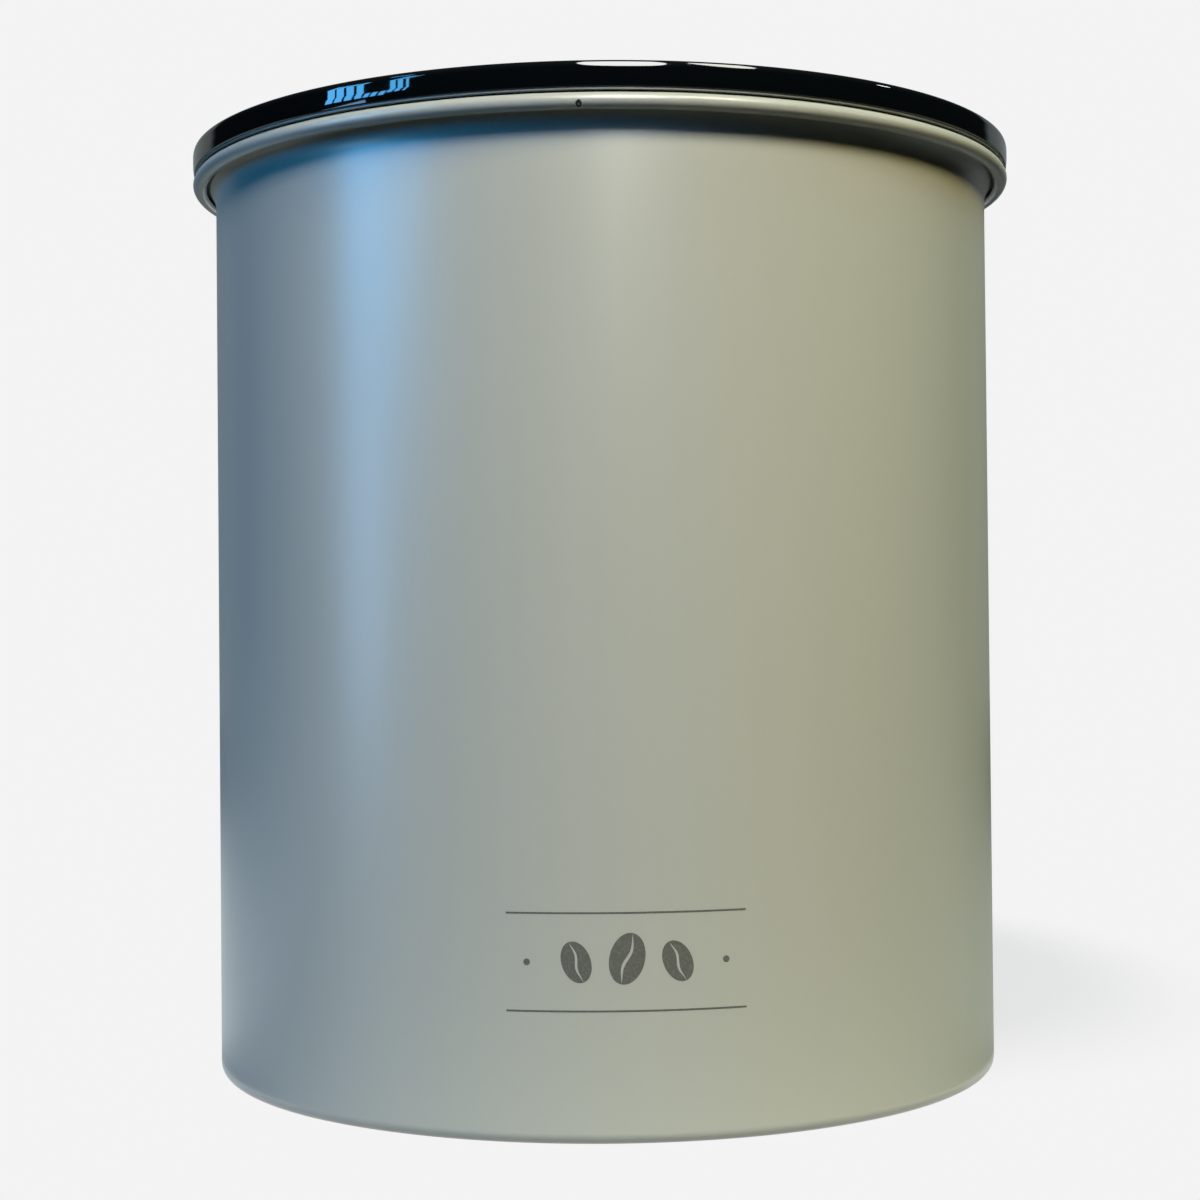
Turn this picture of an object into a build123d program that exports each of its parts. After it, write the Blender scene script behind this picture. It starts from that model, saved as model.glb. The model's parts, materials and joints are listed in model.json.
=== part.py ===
# Airtight coffee canister: a drawn steel can with a curled rim, a push-in outer lid and a plunger lid
# that slides down onto the beans. Folding the plunger's handle up turns a cam that lifts the vent valve.
# Millimetres, +Z up, origin at the centre of the base on the surface that the canister stands on.
# The handle lies folded towards -Y, the front.
from build123d import *
from math import acos, atan2, cos, degrees, dist, radians, sin, sqrt, tan
import os

# Can
wall_diameter = 173.0
rim_overhang = 5.0
can_height = 197.45
sheet = 0.7
base_corner = 2.6
base_recess = 2.0
foot_ring_width = 7.0
ramp_width = 3.0
ramp_round = 1.6
neck_radius = 7.0
curl_radius = 1.65
curl_turn = 270.0

# Outer lid
seat_gap = 0.3
lid_edge_height = 5.45
lid_edge_round = 1.4
lid_foot_round = 1.1
lid_edge_wall = 2.6
lid_panel = 2.2
stack_recess = 2.5
stack_clearance = 0.8
stack_round = 0.6
skirt_depth = 14.0
skirt_wall = 1.8

# Seals, which grip the can's wall
seal_gap = 0.3
seal_base = 1.3
seal_lip = 1.1
seal_lip_edge = 0.5
lip_share = (0.1, 0.4, 0.6, 0.9)
groove_height = 5.4
groove_play = 0.1
flange_height = 1.6
flange_gap = 1.2

# Plunger
plunger_rest = 124.0
plunger_panel = 2.4
plunger_wall = 2.0
plunger_height = 22.0
plunger_foot = 1.0
plunger_round = 2.0
guide_gap = 0.9
edge_round = 0.5
rib_count = 8
rib_thickness = 1.6
rib_low = 3.0
rib_high = 7.5

# Valve turret in the middle of the plunger
turret_radius = 22.0
turret_wall = 2.0
deck_height = 12.0
deck = 2.4
boss_radius = 5.5
boss_drop = 1.6
port_count = 8
port_radius = 1.6
port_circle = 9.6
valve_seat_radius = 14.2
valve_seat_width = 1.2
valve_seat_height = 0.4
collar_wall = 1.5
collar_height = 2.0

# Valve
stem_radius = 3.0
running_gap = 0.08
press_gap = 0.02
stem_foot = 2.0
stem_disc_radius = 8.0
flap_radius = 15.4
flap = 1.2
flap_edge = 0.8
flap_gap = 0.1
flap_groove = 0.4
yoke_bar = 1.6
yoke_thickness = 7.0
yoke_round = 1.0
clip_radius = 7.4
clip = 1.0
clip_height = 3.0
clip_groove = 0.8
spring_wire = 0.7
spring_turns = 3
spring_gap = 0.4
spring_seat = 0.05
guard = 1.2
guard_rim = 3.0
guard_wall = 1.4
guard_rise = 0.2
slot_count = 16
slot_width = 1.6
slot_inner = 6.5
slot_outer = 16.5

# Cam on the handle's axle
valve_lift = 2.0
fold_angle = 90.0
cam_radius = 3.2
cam_gap = 0.08
cam_side_gap = 0.6
cam_foot_gap = 0.3
cam_width = 6.0
cam_tip = 0.6
cam_steps = 6

# Handle
axle_radius = 2.0
axle_inset = 0.5
axle_chamfer = 0.3
ear_offset = 31.0
ear = 3.0
ear_radius = 5.0
ear_foot = 16.0
ear_web = 2.0
side_play = 0.4
handle_boss = 6.6
handle_boss_radius = 5.0
bail_width = 6.0
bail_height = 5.0
bail_round = 1.5
tab_reach = 4.0
tab_width = 26.0
tab = 3.0
tab_round = 3.0
tab_edge_round = 1.0
rest_width = 5.0
rest_offset = 9.0
rest_gap = 0.1

# Cover over the valve
cover_radius = 19.0
cover = 1.6
cover_crown = 1.2
cover_round = 5.0
cover_gap = 0.4
cover_fit = 0.1
vent_count = 12
vent_width = 2.0
vent_height = 6.0
vent_rise = 3.0
axle_slot_gap = 0.6
dimple_radius = 9.5
dimple = 0.5

overrun = 1.0

# Places that follow from the sizes above
wall_radius = wall_diameter / 2
rim_radius = wall_radius + rim_overhang
bore = wall_radius - sheet
lid_seat = can_height + seat_gap
lid_top = lid_seat + lid_edge_height
lid_foot = lid_seat - skirt_depth
seal_radius = bore - seal_gap
groove_radius = seal_radius - seal_base - seal_lip
flange_radius = bore - flange_gap
dish_floor = plunger_rest + plunger_panel
plunger_flange = plunger_rest + plunger_foot
turret_bore = turret_radius - turret_wall
deck_top = plunger_rest + deck_height
deck_under = deck_top - deck
flap_under = deck_top + valve_seat_height + flap_gap
yoke_foot = flap_under + flap
window_foot = yoke_foot + yoke_bar
axle_height = window_foot + cam_foot_gap + valve_lift + cam_radius
window_top = axle_height + cam_radius + cam_gap
window_side = cam_radius + valve_lift + cam_side_gap
cover_ceiling = window_top + yoke_bar + valve_lift + cover_gap
clip_foot = plunger_rest + clip_height
clip_top = clip_foot + clip
boss_face = ear_offset + ear + side_play
bail_radius = boss_face + handle_boss - bail_width / 2
spring_radius = boss_radius + spring_gap + spring_wire / 2


def outline(corners):
    """Closed face in X and Y, from corners of (x, y) or of (x, y, round)."""
    rounds = [sum(corner[2:]) for corner in corners]
    return make_face(FilletPolyline(*[corner[:2] for corner in corners], radius=rounds, close=True))


def ring(corners):
    """Solid turned about Z from corners of (radius, height) or of (radius, height, round)."""
    return revolve(Plane.XZ * outline(corners), Axis.Z)


def spread(count, start=0):
    """Turns about Z for count evenly spaced copies."""
    return [Rotation(0, 0, start + 360 * n / count) for n in range(count)]


def can_skin(depth):
    """One face of the can's sheet, depth in from its outer face, from the base's middle to the curl's end."""
    reach = neck_radius - curl_radius + sheet
    flare = acos((neck_radius + curl_radius - rim_overhang) / reach)
    neck_centre = (wall_radius + neck_radius, can_height - curl_radius - reach * sin(flare))
    curl_centre = (neck_centre[0] - reach * cos(flare), can_height - curl_radius)
    ring_inside = wall_radius - foot_ring_width
    slope = atan2(base_recess, ramp_width)
    shift = depth * tan(slope / 2)
    side = FilletPolyline(
        (0, base_recess + depth),
        (ring_inside - ramp_width + shift, base_recess + depth),
        (ring_inside + shift, depth),
        (wall_radius - depth, depth),
        (wall_radius - depth, neck_centre[1]),
        radius=[ramp_round + depth, ramp_round - depth, base_corner - depth],
    )
    neck = CenterArc(neck_centre, neck_radius + depth, 180, -degrees(flare))
    curl = CenterArc(curl_centre, curl_radius - sheet + depth, 180 - degrees(flare), -curl_turn)
    return [*side.edges(), *neck.edges(), *curl.edges()]


def canister_body():
    """One drawn sheet: recessed base, straight wall, flared neck and a rim curled outwards."""
    outside = can_skin(0)
    inside = can_skin(sheet)
    ends = [Line(outside[0] @ 0, inside[0] @ 0), Line(outside[-1] @ 1, inside[-1] @ 1)]
    return revolve(Plane.XZ * make_face([*outside, *inside, *ends]), Axis.Z)


def seal_groove(foot):
    """Corners of two flanges with a seal's groove between them, from the height foot upwards."""
    groove_foot = foot + flange_height
    groove_top = groove_foot + groove_height
    return [
        (flange_radius, foot),
        (flange_radius, groove_foot),
        (groove_radius, groove_foot),
        (groove_radius, groove_top),
        (flange_radius, groove_top),
        (flange_radius, groove_top + flange_height),
        (groove_radius, groove_top + flange_height),
    ]


def seal_ring(foot):
    """Soft ring with two lips, in the groove over the flange that starts at the height foot."""
    low = foot + flange_height + groove_play
    tall = groove_height - 2 * groove_play
    root = groove_radius + seal_base
    inner = groove_radius + groove_play
    corners = [(inner, low), (root, low)]
    for first, last in (lip_share[:2], lip_share[2:]):
        middle = low + tall * (first + last) / 2
        corners += [
            (root, low + tall * first),
            (seal_radius, middle - seal_lip_edge / 2),
            (seal_radius, middle + seal_lip_edge / 2),
            (root, low + tall * last),
        ]
    return ring([*corners, (root, low + tall), (inner, low + tall)])


def outer_lid():
    """Push-in lid: a rim that sits on the curl, a recess for stacking and a plug skirt with a seal's groove."""
    recess_floor = lid_top - stack_recess
    underside = recess_floor - lid_panel
    skirt_bore = groove_radius - skirt_wall
    rim_bore = rim_radius - lid_edge_wall
    stack_radius = wall_radius + stack_clearance
    return ring([
        (0, underside),
        (skirt_bore, underside),
        (skirt_bore, lid_foot),
        *seal_groove(lid_foot),
        (groove_radius, underside),
        (rim_bore, underside),
        (rim_bore, lid_seat),
        (rim_radius, lid_seat, lid_foot_round),
        (rim_radius, lid_top, lid_edge_round),
        (stack_radius, lid_top, stack_round),
        (stack_radius, recess_floor, stack_round),
        (0, recess_floor),
    ])


def dish():
    """Turned form of the plunger: sealed skirt, floor, valve turret, guide for the stem and valve seat."""
    top = plunger_rest + plunger_height
    guide_radius = bore - guide_gap
    stem_bore = stem_radius + running_gap
    seat_top = deck_top + valve_seat_height
    return ring([
        (stem_bore, deck_under - boss_drop),
        (boss_radius, deck_under - boss_drop),
        (boss_radius, deck_under),
        (turret_bore, deck_under),
        (turret_bore, plunger_rest),
        (groove_radius, plunger_rest),
        *seal_groove(plunger_flange),
        (groove_radius, top - flange_height),
        (guide_radius, top - flange_height),
        (guide_radius, top, edge_round),
        (groove_radius - plunger_wall, top, edge_round),
        (groove_radius - plunger_wall, dish_floor, plunger_round),
        (turret_radius, dish_floor, plunger_round),
        (turret_radius, deck_top, edge_round),
        (valve_seat_radius, deck_top),
        (valve_seat_radius, seat_top),
        (valve_seat_radius - valve_seat_width, seat_top),
        (valve_seat_radius - valve_seat_width, deck_top),
        (stem_bore, deck_top),
    ])


def rib():
    """Rib on the dish's floor from the turret to the skirt, with its top swept down in the middle."""
    inner = turret_radius - turret_wall / 2
    outer = groove_radius - plunger_wall / 2
    low = plunger_rest + plunger_panel / 2
    high = dish_floor + rib_high
    sides = Polyline((inner, high), (inner, low), (outer, low), (outer, high))
    top = ThreePointArc((inner, high), ((inner + outer) / 2, dish_floor + rib_low), (outer, high))
    return extrude(Plane.XZ * make_face([*sides.edges(), top]), rib_thickness / 2, both=True)


def ear_plate():
    """Ear that carries one end of the axle, its web to the turret and the rest under the handle's arm."""
    foot = Line((-ear_foot / 2, dish_floor), (ear_foot / 2, dish_floor))
    crown = Pos(0, axle_height) * Circle(ear_radius)
    plate = extrude(Plane.YZ.offset(ear_offset) * make_hull([foot.edge(), *crown.edges()]), ear)
    web_inner = turret_radius - turret_wall / 2
    web_outer = ear_offset + ear / 2
    web = outline([
        (web_inner, dish_floor),
        (web_outer, dish_floor),
        (web_outer, axle_height - ear_radius),
        (web_inner, deck_top),
    ])
    rest_top = axle_height - bail_height / 2 - rest_gap
    rest_place = Pos(sqrt(bail_radius**2 - rest_offset**2), -rest_offset, dish_floor)
    rest = rest_place * extrude(Rectangle(rest_width, rest_width), rest_top - dish_floor)
    return plate + extrude(Plane.XZ * web, ear_web / 2, both=True) + rest


def plunger_plate():
    """Inner lid in one moulding, with the ports under the valve and the bores for the axle."""
    collar_bore = cover_radius + cover_fit
    collar = ring([
        (collar_bore, deck_top),
        (collar_bore + collar_wall, deck_top),
        (collar_bore + collar_wall, deck_top + collar_height),
        (collar_bore, deck_top + collar_height),
    ])
    plate = dish() + collar + ear_plate() + mirror(ear_plate(), Plane.YZ)
    plate += [turn * rib() for turn in spread(rib_count, 180 / rib_count)]
    port = Pos(port_circle, 0, deck_under + deck / 2) * Cylinder(port_radius, deck + 2 * overrun)
    axle_bore = Cylinder(axle_radius + running_gap, 2 * (boss_face + overrun), rotation=(0, 90, 0))
    return plate - [turn * port for turn in spread(port_count)] - Pos(0, 0, axle_height) * axle_bore


def valve_cover():
    """Dome over the valve, vented at the side and slotted from its foot to drop over the axle."""
    inside = cover_radius - cover
    shoulder = cover_ceiling + cover
    crown = shoulder + cover_crown
    dome = ring([
        (0, cover_ceiling),
        (inside, cover_ceiling, cover_round - cover),
        (inside, deck_top),
        (cover_radius, deck_top),
        (cover_radius, shoulder, cover_round),
        (dimple_radius, crown),
        (dimple_radius, crown - dimple),
        (0, crown - dimple),
    ])
    vent_middle = deck_top + vent_rise + vent_height / 2
    vent = Pos(0, vent_middle) * SlotOverall(vent_height, vent_width, rotation=90)
    vents = extrude(Plane.YZ.offset(inside - overrun) * vent, cover + 2 * overrun)
    slot_radius = axle_radius + axle_slot_gap
    slot_height = axle_height - deck_top + overrun
    slot = Pos(0, axle_height - slot_height / 2) * Rectangle(2 * slot_radius, slot_height)
    slot += Pos(0, axle_height) * Circle(slot_radius)
    axle_slots = extrude(Plane.YZ * slot, cover_radius + overrun, both=True)
    return dome - axle_slots - [turn * vents for turn in spread(vent_count, 180 / vent_count)]


def valve_guard():
    """Slotted disc with an upright rim that presses into the turret from below."""
    radius = turret_bore - cover_fit
    foot = plunger_rest + guard_rise
    plate = ring([
        (0, foot),
        (radius, foot),
        (radius, foot + guard_rim),
        (radius - guard_wall, foot + guard_rim),
        (radius - guard_wall, foot + guard),
        (0, foot + guard),
    ])
    slot = Pos((slot_inner + slot_outer) / 2, 0, foot - overrun) * extrude(
        SlotOverall(slot_outer - slot_inner, slot_width), guard + 2 * overrun
    )
    return plate - [turn * slot for turn in spread(slot_count)]


def valve_stem():
    """Stem with grooves for the clip and the flap, and a yoke whose window the cam turns in."""
    foot = plunger_rest + stem_foot
    stem = ring([
        (0, foot),
        (stem_radius, foot, edge_round),
        (stem_radius, clip_foot),
        (stem_radius - clip_groove, clip_foot),
        (stem_radius - clip_groove, clip_top),
        (stem_radius, clip_top),
        (stem_radius, flap_under),
        (stem_radius - flap_groove, flap_under),
        (stem_radius - flap_groove, yoke_foot),
        (stem_disc_radius, yoke_foot),
        (stem_disc_radius, window_foot),
        (0, window_foot),
    ])
    side = window_side + yoke_bar
    yoke = outline([
        (-side, yoke_foot),
        (side, yoke_foot),
        (side, window_top + yoke_bar, yoke_round),
        (-side, window_top + yoke_bar, yoke_round),
    ])
    window_middle = (window_foot + window_top) / 2
    yoke -= Pos(0, window_middle) * Rectangle(2 * window_side, window_top - window_foot)
    return stem + extrude(Plane.YZ * yoke, yoke_thickness / 2, both=True)


def valve_flap():
    """Soft disc on the stem, thinned towards its edge, that shuts the ports."""
    hole = stem_radius - flap_groove + press_gap
    return ring([
        (hole, flap_under),
        (flap_radius, flap_under),
        (flap_radius, flap_under + flap_edge),
        (stem_disc_radius, yoke_foot),
        (hole, yoke_foot),
    ])


def stem_clip():
    """Open washer pushed onto the stem from the side, which the spring presses on."""
    hole = stem_radius - clip_groove + press_gap
    washer = Circle(clip_radius) - Circle(hole)
    washer -= Pos(0, clip_radius / 2) * Rectangle(2 * hole, clip_radius)
    return Pos(0, 0, clip_foot) * extrude(washer, clip)


def coil_point(share):
    """Point of the spring's centre line and its direction there, at a share of its length from its foot."""
    low = clip_top + spring_seat + spring_wire / 2
    high = deck_under - spring_seat - spring_wire / 2
    turn = radians(360 * spring_turns)
    angle = turn * share
    point = Vector(spring_radius * cos(angle), spring_radius * sin(angle), low + (high - low) * share)
    run = Vector(-spring_radius * sin(angle), spring_radius * cos(angle), (high - low) / turn)
    return point, run.normalized()


def quarter_turn(start, end):
    """Two arcs that meet smoothly, between two shares of the spring's length."""
    first, first_run = coil_point(start)
    last, last_run = coil_point(end)
    chord = last - first
    along = chord.dot(first_run + last_run)
    bend = 2 * (1 - first_run.dot(last_run))
    reach = (sqrt(along**2 + bend * chord.dot(chord)) - along) / bend
    before = first + first_run * reach
    after = last - last_run * reach
    meeting = (before + after) / 2
    return [
        TangentArc(first, meeting, tangent=first_run).edge(),
        TangentArc(meeting, last, tangent=after - before).edge(),
    ]


def valve_spring():
    """Coil spring between the clip and the deck, one round wire with a straight stretch at each end."""
    quarters = 4 * spring_turns
    foot, foot_run = coil_point(0)
    head, head_run = coil_point(1)
    path = [Line(foot - foot_run * spring_wire, foot).edge()]
    for n in range(quarters):
        path += quarter_turn(n / quarters, (n + 1) / quarters)
    path.append(Line(head, head + head_run * spring_wire).edge())
    wire = Wire(path)
    gap = coil_gap()
    print(f"valve_spring: {spring_turns} turns, wire {wire.length:.2f} long, least gap {gap:.2f}")
    return sweep(Plane(origin=wire @ 0, z_dir=wire % 0) * Circle(spring_wire / 2), path=wire)


def coil_gap():
    """Least gap between the wire's neighbouring turns, measured on points of its centre line."""
    samples = 24 * spring_turns
    points = [tuple(coil_point(n / samples)[0]) for n in range(samples + 1)]
    turn = samples // spring_turns
    pairs = [(a, b) for a in range(samples + 1) for b in range(a + turn // 2, samples + 1)]
    return min(dist(points[a], points[b]) for a, b in pairs) - spring_wire


def valve_cam():
    """Cam that lifts the yoke's flat top bar in step with the handle's turn."""
    climb = valve_lift / radians(fold_angle)
    flank = []
    for n in range(cam_steps + 1):
        turn = radians(fold_angle * n / cam_steps)
        height = cam_radius + climb * turn
        flank.append((-height * sin(turn) - climb * cos(turn), height * cos(turn) - climb * sin(turn)))
    toe = (flank[-1][0], flank[-1][1] - cam_tip)
    profile = [
        Spline(*flank),
        Polyline(flank[-1], toe, (0, -cam_radius)),
        ThreePointArc((0, -cam_radius), (cam_radius, 0), (0, cam_radius)),
        Line((0, cam_radius), flank[0]),
    ]
    face = make_face([edge for line in profile for edge in line.edges()])
    face -= Circle(axle_radius + press_gap)
    return Pos(0, 0, axle_height) * extrude(Plane.YZ * face, cam_width / 2, both=True)


def handle_axle():
    """Steel rod through the ears, the cover and the cam, pressed into the handle's bosses."""
    length = 2 * (boss_face + handle_boss - axle_inset)
    rod = Cylinder(axle_radius, length, rotation=(0, 90, 0))
    ends = rod.edges().filter_by(GeomType.CIRCLE)
    return Pos(0, 0, axle_height) * chamfer(ends, axle_chamfer)


def handle():
    """Half-round bail with a boss at each end and a lifting tab at the front."""
    section = Pos(bail_radius, axle_height) * RectangleRounded(bail_width, bail_height, bail_round)
    bail = Rotation(0, 0, 180) * revolve(Plane.XZ * section, Axis.Z, 180)
    boss = extrude(Plane.YZ.offset(boss_face) * Pos(0, axle_height) * Circle(handle_boss_radius), handle_boss)
    tab_depth = tab_reach + bail_width / 2 + tab_round
    tab_middle = tab_depth / 2 - bail_radius - bail_width / 2 - tab_reach
    plan = Pos(0, tab_middle) * RectangleRounded(tab_width, tab_depth, tab_round)
    lift_tab = extrude(Plane.XY.offset(axle_height - tab / 2) * plan, tab)
    lift_tab = fillet(lift_tab.faces().sort_by(Axis.Z)[-1].edges(), tab_edge_round)
    bore_cut = Cylinder(axle_radius + press_gap, 2 * (boss_face + handle_boss + overrun), rotation=(0, 90, 0))
    return bail + boss + mirror(boss, Plane.YZ) + lift_tab - Pos(0, 0, axle_height) * bore_cut


pieces = {
    "canister_body": canister_body(),
    "outer_lid": outer_lid(),
    "outer_lid_gasket": seal_ring(lid_foot),
    "plunger_plate": plunger_plate(),
    "plunger_gasket": seal_ring(plunger_flange),
    "valve_cover": valve_cover(),
    "valve_guard": valve_guard(),
    "valve_spring": valve_spring(),
    "valve_stem": valve_stem(),
    "valve_flap": valve_flap(),
    "stem_clip": stem_clip(),
    "valve_cam": valve_cam(),
    "handle_axle": handle_axle(),
    "handle": handle(),
}
os.makedirs("parts", exist_ok=True)
for name, piece in pieces.items():
    export_step(piece, f"parts/{name}.step")
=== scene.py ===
# Coffee canister with a vented plunger lid: finishes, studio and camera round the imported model.
# Metres, +Z up. The can stands on the floor at the origin with its front towards -Y.
import json
import math

import bmesh
import bpy
from mathutils import Matrix, Vector


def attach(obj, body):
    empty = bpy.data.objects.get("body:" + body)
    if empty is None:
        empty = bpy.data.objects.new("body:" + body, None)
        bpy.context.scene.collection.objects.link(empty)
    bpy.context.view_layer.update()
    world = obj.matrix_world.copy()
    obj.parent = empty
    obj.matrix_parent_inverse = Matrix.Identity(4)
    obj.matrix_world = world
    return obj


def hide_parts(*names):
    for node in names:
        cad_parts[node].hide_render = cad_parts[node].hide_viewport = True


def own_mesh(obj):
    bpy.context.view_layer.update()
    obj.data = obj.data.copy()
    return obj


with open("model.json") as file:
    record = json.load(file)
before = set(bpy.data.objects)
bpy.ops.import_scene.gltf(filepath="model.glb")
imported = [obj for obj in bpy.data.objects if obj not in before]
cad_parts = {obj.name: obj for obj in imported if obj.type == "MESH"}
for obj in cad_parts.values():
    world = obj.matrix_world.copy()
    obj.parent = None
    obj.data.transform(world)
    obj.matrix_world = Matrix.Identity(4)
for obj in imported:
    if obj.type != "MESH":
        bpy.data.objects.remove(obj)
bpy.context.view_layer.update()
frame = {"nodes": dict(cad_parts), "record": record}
nodes = frame["nodes"]
print("frame: loaded", len(nodes), "nodes")

mm = 0.001


# Shader nodes

noiseBand = (0.3, 0.7)  # most of a noise's values lie in here


def addNode(tree, kind, inputs=None, **settings):
    # one shader node; an input may be a value or another node's output
    node = tree.nodes.new("ShaderNode" + kind)
    for key, value in settings.items():
        setattr(node, key, value)
    for key, value in (inputs or {}).items():
        if isinstance(value, bpy.types.NodeSocket):
            tree.links.new(value, node.inputs[key])
        else:
            node.inputs[key].default_value = value
    return node


def calculate(tree, operation, *values):
    return addNode(tree, "Math", dict(enumerate(values)), operation=operation).outputs[0]


def calculateVector(tree, operation, *values, result="Vector"):
    return addNode(tree, "VectorMath", dict(enumerate(values)), operation=operation).outputs[result]


def spread(tree, value, low, high, outLow=0.0, outHigh=1.0):
    # maps low..high to outLow..outHigh, clamped, with soft ends
    inputs = {"Value": value, "From Min": low, "From Max": high, "To Min": outLow, "To Max": outHigh}
    return addNode(tree, "MapRange", inputs, interpolation_type="SMOOTHSTEP").outputs["Result"]


def objectPoint(tree):
    return addNode(tree, "TexCoord").outputs["Object"]


def axesOf(tree, vector):
    return addNode(tree, "SeparateXYZ", {"Vector": vector}).outputs


def noise(tree, point, scale, detail=2.0):
    return addNode(tree, "TexNoise", {"Vector": point, "Scale": scale, "Detail": detail}).outputs["Fac"]


def mixColour(tree, share, first, second):
    # each end may be a colour or another node's output
    ends = [end if isinstance(end, bpy.types.NodeSocket) else (*end, 1) for end in (first, second)]
    return addNode(tree, "Mix", {0: share, 6: ends[0], 7: ends[1]}, data_type="RGBA").outputs[2]


def driftColour(tree, value, colour, contrast):
    # one colour that drifts between a darker and a lighter shade of itself
    dark, light = ([(1 + change) * channel for channel in colour] for change in (-contrast, contrast))
    return mixColour(tree, spread(tree, value, *noiseBand), dark, light)


def bump(tree, height, depth):
    return addNode(tree, "Bump", {"Height": height, "Distance": depth, "Strength": 1.0}).outputs["Normal"]


def newMaterial(name, **sockets):
    # a material with one Principled shader; constants sit on its own sockets
    material = bpy.data.materials.new(name)
    material.use_nodes = True
    tree = material.node_tree
    shader = tree.nodes["Principled BSDF"]
    for label, value in sockets.items():
        shader.inputs[label.replace("_", " ")].default_value = value
    return material, tree, shader


def dress(tree, shader, colour, roughness, normal):
    for label, source in (("Base Color", colour), ("Roughness", roughness), ("Normal", normal)):
        tree.links.new(source, shader.inputs[label])


# Effects that several finishes share: named values in, masks and heights out

def newGroup(name, inputs, outputs):
    group = bpy.data.node_groups.new(name, "ShaderNodeTree")
    for label in inputs:
        group.interface.new_socket(label, in_out="INPUT", socket_type="NodeSocketFloat")
    for label in outputs:
        group.interface.new_socket(label, in_out="OUTPUT", socket_type="NodeSocketFloat")
    return group, group.nodes.new("NodeGroupInput").outputs, group.nodes.new("NodeGroupOutput").inputs


def useGroup(tree, group, **values):
    node = tree.nodes.new("ShaderNodeGroup")
    node.node_tree = group
    for label, value in values.items():
        node.inputs[label].default_value = value
    return node.outputs


def grainGroup():
    # fine moulded or sprayed grain: a height, and a slow drift in tone
    group, given, result = newGroup("surfaceGrain", ["Scale", "Drift"], ["Height", "Tone"])
    point = objectPoint(group)
    group.links.new(noise(group, point, given["Scale"], 3.0), result["Height"])
    group.links.new(noise(group, point, given["Drift"]), result["Tone"])
    return group


dustShape = {
    "speck": 0.22,
    "facing": (-0.1, 0.9),
    "onSides": 0.15,
}


def dustGroup():
    # small specks that lie on faces which look up, and thin out on the sides
    group, given, result = newGroup("settledDust", ["Scale", "Amount"], ["Mask"])
    point = objectPoint(group)
    cells = addNode(group, "TexVoronoi", {"Vector": point, "Scale": given["Scale"], "Randomness": 1.0})
    speck = spread(group, cells.outputs["Distance"], 0.0, dustShape["speck"], 1.0, 0.0)
    chance = addNode(group, "SeparateColor", {"Color": cells.outputs["Color"]}).outputs["Red"]
    kept = calculate(group, "LESS_THAN", chance, given["Amount"])
    upwards = axesOf(group, addNode(group, "NewGeometry").outputs["Normal"])["Z"]
    facing = spread(group, upwards, *dustShape["facing"], dustShape["onSides"], 1.0)
    mask = calculate(group, "MULTIPLY", calculate(group, "MULTIPLY", speck, kept), facing)
    group.links.new(mask, result["Mask"])
    return group


# shape of the edge mask, which carries both wear and a painted sheen on moulded plastics
edgeWearAndSheenShape = {
    "samples": 4,
    "edge": (0.80, 0.995),
    "patchScale": 260.0,
    "patch": (0.42, 0.62),
}


def edgeWearAndSheenGroup():
    # rubbed edges, lighter partly from wear and partly as a painted sheen: where a softened normal leaves
    # the real one, broken up by noise
    group, given, result = newGroup("edgeWearAndSheen", ["Width", "Amount"], ["Mask"])
    soft = addNode(group, "Bevel", {"Radius": given["Width"]}, samples=edgeWearAndSheenShape["samples"]).outputs[0]
    real = addNode(group, "NewGeometry").outputs["Normal"]
    along = calculateVector(group, "DOT_PRODUCT", soft, real, result="Value")
    edge = spread(group, along, *edgeWearAndSheenShape["edge"], 1.0, 0.0)
    patches = noise(group, objectPoint(group), edgeWearAndSheenShape["patchScale"], 4.0)
    patch = spread(group, patches, *edgeWearAndSheenShape["patch"])
    mask = calculate(group, "MULTIPLY", calculate(group, "MULTIPLY", edge, patch), given["Amount"])
    group.links.new(mask, result["Mask"])
    return group


brushShape = {
    "alongTurn": 0.0006,  # how little a line changes along its way round
}


def brushGroup():
    # lathe and brush lines round the Z axis: rings on flat faces, hoops on walls
    group, given, result = newGroup("turnedLines", ["Fine", "Coarse"], ["Height", "Tone"])
    place = axesOf(group, objectPoint(group))
    across = addNode(group, "CombineXYZ", {"X": place["X"], "Y": place["Y"], "Z": 0.0}).outputs["Vector"]
    radius = calculateVector(group, "LENGTH", across, result="Value")
    angle = calculate(group, "ARCTAN2", place["Y"], place["X"])
    turn = calculate(group, "MULTIPLY", angle, brushShape["alongTurn"])
    line = addNode(group, "CombineXYZ", {"X": radius, "Y": turn, "Z": place["Z"]}).outputs["Vector"]
    group.links.new(noise(group, line, given["Fine"]), result["Height"])
    group.links.new(noise(group, line, given["Coarse"], 3.0), result["Tone"])
    return group


surfaceGrain = grainGroup()
settledDust = dustGroup()
edgeWearAndSheen = edgeWearAndSheenGroup()
turnedLines = brushGroup()


# Finishes

coatFinish = {
    "light": (0.426, 0.430, 0.358),
    "dark": (0.394, 0.399, 0.330),
    "drift": 11.0,
    "driftShare": 0.45,
    "speckle": 3400.0,
    "roughness": (0.275, 0.295),  # an edge shows on the wall where it crosses 0.274
    "peel": 620.0,
    "peelDepth": 0.006 * mm,
    "chip": (-3.95 * mm, -91.18 * mm, 194.75 * mm),
    "chipSize": 0.84 * mm,
    "chipStretch": 1.7,
    "chipEdge": (0.85, 1.0),
    "chipDepth": 8.0,
    "ragged": 0.35 * mm,
    "raggedScale": 1800.0,
    "primer": (0.022, 0.019, 0.015),
    "blister": (0.30, 0.30, 0.25),
    "blisterEdge": (0.40, 0.55),
}


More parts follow.
